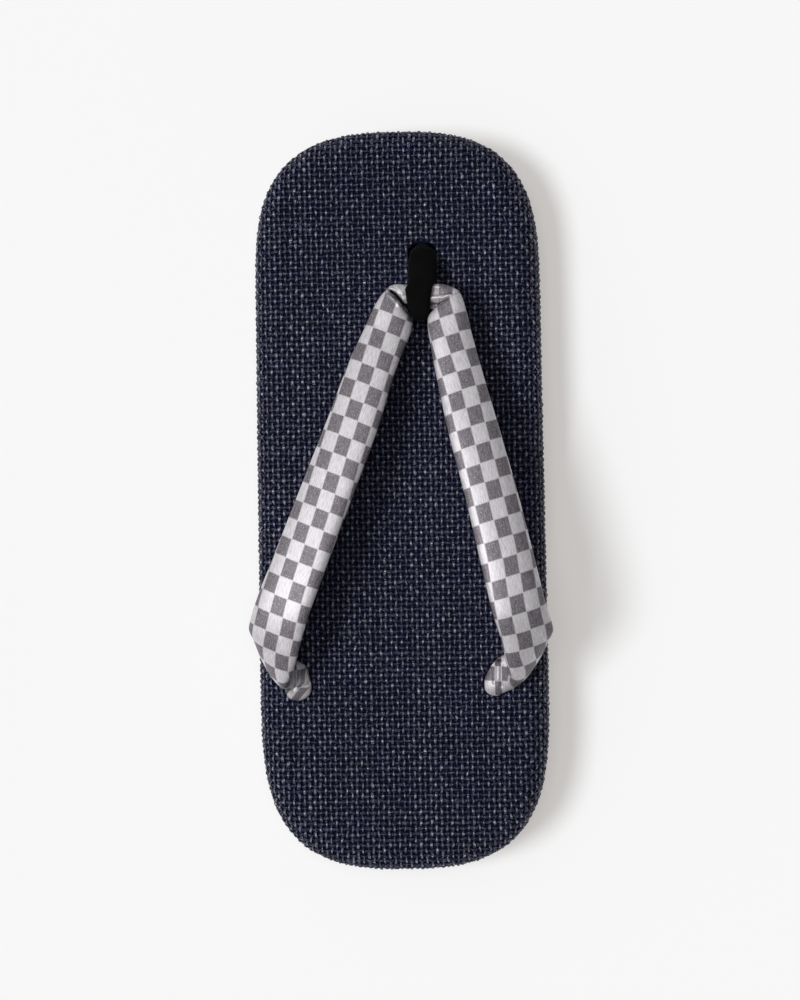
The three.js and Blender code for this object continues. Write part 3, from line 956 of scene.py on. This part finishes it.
class Graph:
    """A short way to build a material's nodes."""

    def __init__(self, name):
        self.material = bpy.data.materials.new(name)
        self.material.use_nodes = True
        self.tree = self.material.node_tree
        self.shader = self.tree.nodes["Principled BSDF"]

    def node(self, kind, **settings):
        made = self.tree.nodes.new("ShaderNode" + kind)
        for key, value in settings.items():
            setattr(made, key, value)
        return made

    def feed(self, socket, value):
        if isinstance(value, bpy.types.NodeSocket):
            self.tree.links.new(value, socket)
        else:
            socket.default_value = value

    def math(self, operation, *values):
        made = self.node("Math", operation=operation)
        for socket, value in zip(made.inputs, values):
            self.feed(socket, value)
        return made.outputs[0]

    def mix(self, share, low, high):
        made = self.node("Mix", data_type="RGBA")
        self.feed(made.inputs["Factor"], share)
        self.feed(made.inputs["A"], rgba(low))
        self.feed(made.inputs["B"], rgba(high))
        return made.outputs["Result"]

    def between(self, value, low, high, start=0.0, end=1.0):
        """Value moved from the range low..high to the range start..end."""
        made = self.node("MapRange")
        for name, given in (
            ("Value", value), ("From Min", low), ("From Max", high), ("To Min", start), ("To Max", end),
        ):
            self.feed(made.inputs[name], given)
        return made.outputs["Result"]

    def noise(self, vector, scale, detail, rough=0.5):
        made = self.node("TexNoise")
        self.feed(made.inputs["Vector"], vector)
        made.inputs["Scale"].default_value = scale
        made.inputs["Detail"].default_value = detail
        made.inputs["Roughness"].default_value = rough
        return made.outputs["Fac"]

    def attribute(self, name):
        return self.node("Attribute", attribute_name=name).outputs["Fac"]

    def vector(self, x, y, z=0.0):
        made = self.node("CombineXYZ")
        for socket, value in zip(made.inputs, (x, y, z)):
            self.feed(socket, value)
        return made.outputs[0]

    def object_place(self):
        return self.node("TexCoord").outputs["Object"]

    def bump(self, height, distance, strength):
        made = self.node("Bump")
        made.inputs["Distance"].default_value = distance * MM
        made.inputs["Strength"].default_value = strength
        self.feed(made.inputs["Height"], height)
        self.feed(self.shader.inputs["Normal"], made.outputs["Normal"])

    def set(self, **values):
        for name, value in values.items():
            self.feed(self.shader.inputs[name.replace("_", " ")], rgba(value))


def rgba(value):
    if isinstance(value, tuple) and len(value) == 3:
        return (*value, 1.0)
    return value


def thread_material(name, shine):
    """Yarn of navy strands, with painted light and shade: a thread's colour is painted darker where it
    dips under another and lighter towards its crest, with painted glints at the highest places.
    Shine is how much its crests stand out, in this painted light and in gloss."""
    # Painted shade: the colour of a thread's low parts, where it dips under another
    tucked_shade = (0.005, 0.006, 0.022)
    speck = (0.009, 0.0105, 0.031)
    greyish_navy = (0.034, 0.039, 0.054)
    middle_navy = (0.032, 0.036, 0.092)
    strong_navy = (0.03, 0.033, 0.135)
    pale_fibre = (0.22, 0.23, 0.265)
    # Painted highlight: the colour of the glints on the highest crests
    painted_glint = (0.8, 0.81, 0.85)
    graph = Graph(name)
    tone = graph.attribute("tone")
    along = graph.attribute("along")
    across = graph.attribute("across")
    crest = graph.attribute("crest")
    place = graph.vector(along, graph.math("MULTIPLY", across, 1.2), graph.math("MULTIPLY", tone, 60.0))
    slow_place = graph.vector(graph.math("MULTIPLY", along, 0.12), graph.math("MULTIPLY", tone, 40.0))
    strand = graph.noise(slow_place, 1.0, 2.0)
    patch = graph.noise(graph.object_place(), 75.0, 3.0)
    spark = graph.noise(place, 0.6, 1.0)
    fleck = graph.noise(place, 1.1, 2.0)
    crinkle = graph.noise(place, 2.6, 3.0, 0.65)
    plain = graph.mix(graph.between(strand, 0.38, 0.62), greyish_navy, middle_navy)
    navy = graph.mix(graph.between(patch, 0.42, 0.6), plain, strong_navy)
    speckled = graph.mix(graph.between(crinkle, 0.4, 0.56), speck, navy)
    mixed = graph.mix(graph.between(fleck, 0.48, 0.62), speckled, pale_fibre)
    # Painted light and shade: the thread goes from its painted shade at the low parts to its own colour at
    # the crest, more at some crossings than at others
    strength = graph.between(spark, 0.38, 0.58, 0.15, 1.15)
    raised = graph.math("MULTIPLY", graph.between(crest, 0.35, 0.95, 0.12, shine), strength)
    # Painted glints on the highest places of the crests
    highest = graph.between(crest, 0.88, 1.0, 0.0, shine)
    painted_glint_share = graph.math("MULTIPLY", graph.between(crinkle, 0.54, 0.61), highest)
    cloth = graph.mix(raised, tucked_shade, mixed)
    graph.set(Base_Color=graph.mix(painted_glint_share, cloth, painted_glint))
    graph.set(Roughness=graph.between(spark, 0.38, 0.6, 0.5, 0.22))
    graph.set(Specular_IOR_Level=0.9 * shine, Specular_Tint=(0.78, 0.8, 1.0))
    graph.bump(crinkle, 0.25, 1.0)
    return graph.material


def backing_material():
    """The dark ground that shows between the threads."""
    graph = Graph("woven_cover_ground")
    grain = graph.noise(graph.object_place(), 900.0, 2.0)
    graph.set(Base_Color=graph.mix(grain, (0.0022, 0.0027, 0.011), (0.004, 0.005, 0.018)))
    graph.set(Roughness=0.9, Specular_IOR_Level=0.1)
    graph.bump(grain, 0.1, 0.5)
    return graph.material


def satin_material():
    """Satin in checks: long fine streaks in the cloth, a little light line where two checks meet."""
    graph = Graph("checked_satin_cloth")
    cloth = graph.node("UVMap", uv_map="cloth").outputs["UV"]
    split = graph.node("SeparateXYZ")
    graph.feed(split.inputs[0], cloth)
    across, along = split.outputs[0], split.outputs[1]
    cells = graph.math("ADD", graph.math("FLOOR", across), graph.math("FLOOR", along))
    dark = graph.math("GREATER_THAN", graph.math("FLOORED_MODULO", cells, 2.0), 0.5)
    streaks = graph.noise(cloth_streaks(graph, across, along, 13.0, 2.4), 1.0, 3.0, 0.75)
    specks = graph.noise(cloth_streaks(graph, across, along, 11.0, 11.0), 1.0, 2.0, 0.6)
    streaked = graph.between(streaks, 0.3, 0.7)
    light_tone = graph.mix(streaked, (0.46, 0.44, 0.47), (0.8, 0.773, 0.812))
    grey = graph.mix(streaked, (0.073, 0.064, 0.076), (0.265, 0.24, 0.27))
    dark_tone = graph.mix(graph.between(specks, 0.56, 0.66), grey, (0.36, 0.34, 0.36))
    edge = graph.math("MAXIMUM", seam_line(graph, across, 0.045), seam_line(graph, along, 0.035))
    tone = graph.mix(dark, light_tone, dark_tone)
    edged = graph.mix(graph.math("MULTIPLY", edge, 0.45), tone, (0.62, 0.6, 0.62))
    # Painted shade: the colour goes nearly black where a strap crease is deepest
    graph.set(Base_Color=graph.mix(graph.attribute("painted_crease_shade"), edged, (0.006, 0.006, 0.006)))
    graph.set(Metallic=0.45, Roughness=graph.between(streaks, 0.3, 0.7, 0.48, 0.58))
    graph.bump(graph.math("ADD", streaks, graph.math("MULTIPLY", specks, 0.6)), 0.12, 0.8)
    return graph.material


def cloth_streaks(graph, across, along, scale_across, scale_along):
    """A place for noise that is drawn out where its scale is low."""
    return graph.vector(
        graph.math("MULTIPLY", across, scale_across),
        graph.math("MULTIPLY", along, scale_along),
    )


def seam_line(graph, place, half_width):
    """1 on a thin line where place is a whole number, and 0 elsewhere."""
    away = graph.math("ABSOLUTE", graph.math("SUBTRACT", place, graph.math("ROUND", place)))
    return graph.math("LESS_THAN", away, half_width)


def velvet_material():
    graph = Graph("black_velvet")
    pile = graph.noise(graph.object_place(), 1500.0, 3.0, 0.6)
    patch = graph.noise(graph.object_place(), 220.0, 2.0)
    graph.set(Base_Color=graph.mix(patch, (0.0018, 0.0022, 0.002), (0.0045, 0.0046, 0.0044)))
    graph.set(Roughness=1.0, Specular_IOR_Level=0.05, Sheen_Weight=0.03, Sheen_Roughness=0.35)
    graph.bump(pile, 0.2, 0.6)
    return graph.material


def sponge_material():
    graph = Graph("black_sponge")
    pores = graph.noise(graph.object_place(), 1600.0, 2.0, 0.7)
    patch = graph.noise(graph.object_place(), 90.0, 2.0)
    graph.set(Base_Color=graph.mix(patch, (0.011, 0.011, 0.012), (0.019, 0.019, 0.021)))
    graph.set(Roughness=graph.between(pores, 0.0, 1.0, 0.6, 0.85))
    graph.bump(pores, 0.16, 0.7)
    return graph.material


def rubber_material():
    graph = Graph("black_rubber")
    grain = graph.noise(graph.object_place(), 700.0, 3.0, 0.6)
    scuff = graph.noise(graph.object_place(), 60.0, 4.0, 0.7)
    worn = graph.between(scuff, 0.45, 0.75)
    graph.set(Base_Color=graph.mix(worn, (0.007, 0.007, 0.008), (0.02, 0.02, 0.021)))
    graph.set(Roughness=graph.between(scuff, 0.3, 0.8, 0.5, 0.75))
    graph.bump(grain, 0.08, 0.5)
    return graph.material


def floor_material():
    """A pale floor, whose own glow keeps the shadows on it pale."""
    graph = Graph("pale_floor")
    tone = graph.noise(graph.object_place(), 3.0, 1.0)
    graph.set(Base_Color=graph.mix(tone, (0.549, 0.581, 0.598), (0.567, 0.599, 0.616)))
    graph.set(Roughness=0.9, Specular_IOR_Level=0.1)
    graph.set(Emission_Color=(1.0, 0.93, 0.89), Emission_Strength=0.4)
    return graph.material


def dress_solid(node, material):
    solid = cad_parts[node]
    solid.data.materials.clear()
    solid.data.materials.append(material)


# Floor, light and camera


def add_floor():
    half = FLOOR_HALF_WIDTH
    places = [(-half, -half, 0), (half, -half, 0), (half, half, 0), (-half, half, 0)]
    floor = mesh_object("floor", places, [(0, 1, 2, 3)], body=None)
    floor.data.materials.append(floor_material())


def add_world(left, right):
    """A dim room that is brighter on the left, with the strength of its light on either side."""
    world = bpy.data.worlds.new("studio")
    world.use_nodes = True
    nodes = world.node_tree.nodes
    links = world.node_tree.links
    split = nodes.new("ShaderNodeSeparateXYZ")
    links.new(nodes.new("ShaderNodeTexCoord").outputs["Generated"], split.inputs[0])
    range_node = nodes.new("ShaderNodeMapRange")
    links.new(split.outputs[0], range_node.inputs["Value"])
    for name, value in (("From Min", -0.5), ("From Max", 0.5), ("To Min", left), ("To Max", right)):
        range_node.inputs[name].default_value = value
    background = nodes["Background"]
    background.inputs["Color"].default_value = (1.0, 0.985, 0.97, 1.0)
    links.new(range_node.outputs["Result"], background.inputs["Strength"])
    bpy.context.scene.world = world


def add_sun(name, from_direction, strength, spread):
    light = bpy.data.lights.new(name, "SUN")
    light.energy = strength
    light.angle = math.radians(spread)
    lamp = bpy.data.objects.new(name, light)
    lamp.rotation_mode = "QUATERNION"
    lamp.rotation_quaternion = Vector(from_direction).to_track_quat("Z", "Y")
    bpy.context.scene.collection.objects.link(lamp)


def add_camera():
    camera = bpy.data.cameras.new("photo_camera")
    camera.sensor_width = SENSOR
    camera.lens = SENSOR / PICTURE_HEIGHT_AT_A_METRE * METRE
    camera.clip_start = 0.05
    camera.clip_end = 20
    eye = bpy.data.objects.new("photo_camera", camera)
    bpy.context.scene.collection.objects.link(eye)
    place = Vector(CAMERA_PLACE)
    back = (place - Vector(CAMERA_AIM)).normalized()
    roll = math.radians(CAMERA_ROLL)
    up = Vector((math.sin(roll), math.cos(roll), 0))
    right = up.cross(back).normalized()
    up = back.cross(right)
    eye.rotation_mode = "QUATERNION"
    eye.location = place * MM
    eye.rotation_quaternion = Matrix((right, up, back)).transposed().to_quaternion()
    bpy.context.scene.camera = eye


for way, along_warp, shine in (("warp", True, WARP_SHINE), ("weft", False, WEFT_SHINE)):
    threads = thread_material(f"woven_cover_{way}", shine)
    for odd, half in enumerate(("even", "odd")):
        weave_piece(f"cover_{way}_{half}", along_warp, odd, threads)
dress_solid("footbed", backing_material())
dress_solid("midsole", sponge_material())
dress_solid("outsole", rubber_material())
strap_piece(satin_material())
loop_piece(velvet_material())

add_floor()
add_world(*ROOM_LIGHT)
for lamp in LAMPS:
    add_sun(*lamp)
add_camera()
bpy.context.scene.view_settings.view_transform = "Standard"

bpy.context.view_layer.update()
